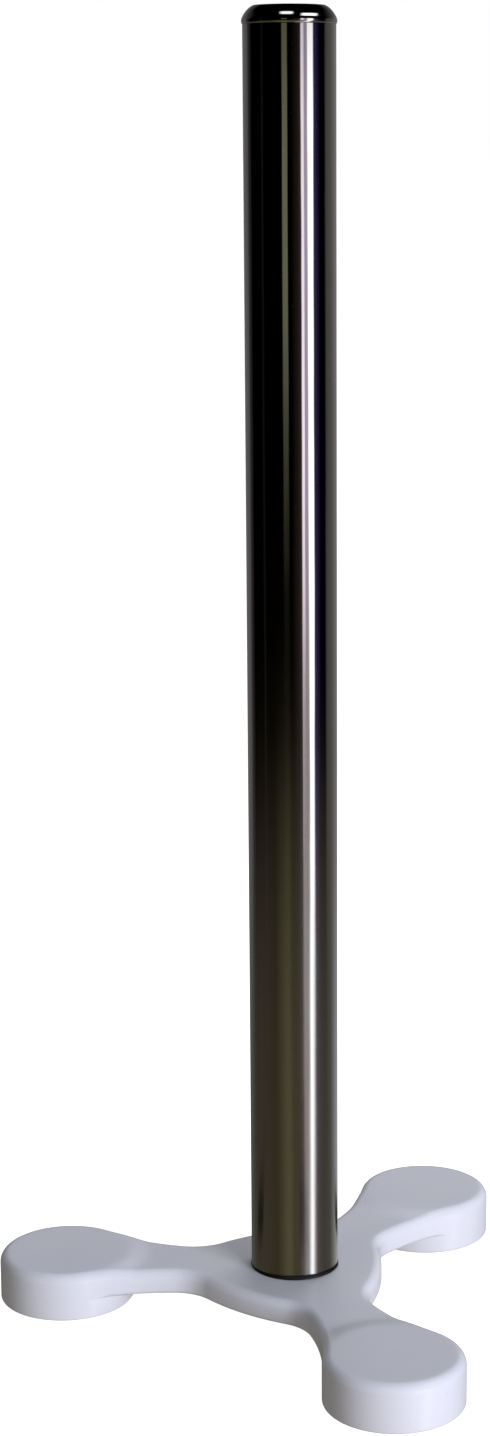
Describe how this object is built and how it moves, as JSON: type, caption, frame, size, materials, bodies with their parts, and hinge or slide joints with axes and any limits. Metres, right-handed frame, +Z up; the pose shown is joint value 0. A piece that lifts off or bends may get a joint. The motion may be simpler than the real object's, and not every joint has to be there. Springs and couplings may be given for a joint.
{
  "type": "flag pole stand",
  "caption": "Low white cast base with splayed arms ending in round pads, and a tall upright polished steel tube with a rounded collar that takes a flag pole.",
  "frame": {"origin": "on the floor, at the middle of the footprint's bounding box; the socket tube's axis is the vertical line at x = 0.025625, y = 0", "axes": "+Z up, out of the tube's open top and along the pole; one arm of the base points along -X, the other two along 60 degrees either side of +X"},
  "size_m": [0.2132, 0.237, 0.561],
  "materials": {
    "white_enamel": "satin",
    "foot_rubber": "matte",
    "gasket_rubber": "satin",
    "turned_steel": "satin",
    "zinc_plate": "satin",
    "polished_tube": "polished",
    "black_nylon": "satin",
    "polished_collar": "polished"
  },
  "bodies": {
    "root": {"base_casting": "white_enamel", "foot_pad_left": "foot_rubber", "foot_pad_rear": "foot_rubber", "foot_pad_front": "foot_rubber", "base_gasket": "gasket_rubber", "tube_plug": "turned_steel", "flat_washer": "zinc_plate", "lock_washer": "zinc_plate", "draw_bolt": "zinc_plate", "socket_tube": "polished_tube", "pole_seat": "black_nylon", "top_collar": "polished_collar", "collar_liner": "black_nylon"}
  },
  "joints": []
}
